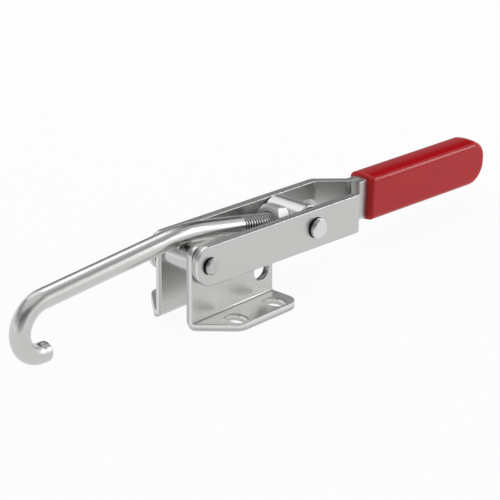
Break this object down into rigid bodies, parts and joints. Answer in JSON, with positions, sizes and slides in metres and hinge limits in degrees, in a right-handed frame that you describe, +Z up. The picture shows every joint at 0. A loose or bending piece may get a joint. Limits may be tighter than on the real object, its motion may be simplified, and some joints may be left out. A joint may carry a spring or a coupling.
{
  "type": "over centre toggle latch",
  "caption": "Over centre latch with a slotted stamped base, a plate lever with a soft plastic grip and a J hook on a threaded rod that pulls a catch tight and locks past centre.",
  "frame": {"origin": "midway between the two front slots, on the underside of the base flanges, which is the face that is bolted down", "axes": "+X from the hook towards the grip, +Y away from the near side, +Z up from the mounting face; the latch is closed at rest"},
  "size_m": [0.2685, 0.049, 0.0395],
  "materials": {
    "stamped_steel": "satin rolled stainless sheet",
    "turned_steel": "turned stainless bar",
    "polished_rod": "bright drawn stainless rod",
    "red_plastic": "soft glossy red vinyl"
  },
  "bodies": {
    "base": {"base_bracket_near": "stamped_steel", "base_bracket_far": "stamped_steel", "pivot_pin": "turned_steel", "spacer_sleeve": "turned_steel"},
    "lever": {"lever_plate_near": "stamped_steel", "lever_plate_far": "stamped_steel", "handle_rivet_front": "turned_steel", "handle_rivet_rear": "turned_steel", "grip_sleeve": "red_plastic"},
    "hook": {"cross_bar": "turned_steel", "hook_rod": "polished_rod", "front_nut": "turned_steel", "rear_nut": "turned_steel"}
  },
  "joints": [
    {"name": "lever_pivot", "type": "hinge", "parent": "base", "child": "lever", "pos_m": [-0.009, 0, 0.0258], "axis": [0, -1, 0], "range_deg": [0, 165]},
    {"name": "hook_pivot", "type": "hinge", "parent": "lever", "child": "hook", "pos_m": [0.05207, 0, 0.02375], "axis": [0, 1, 0], "range_deg": [0, 140]}
  ]
}
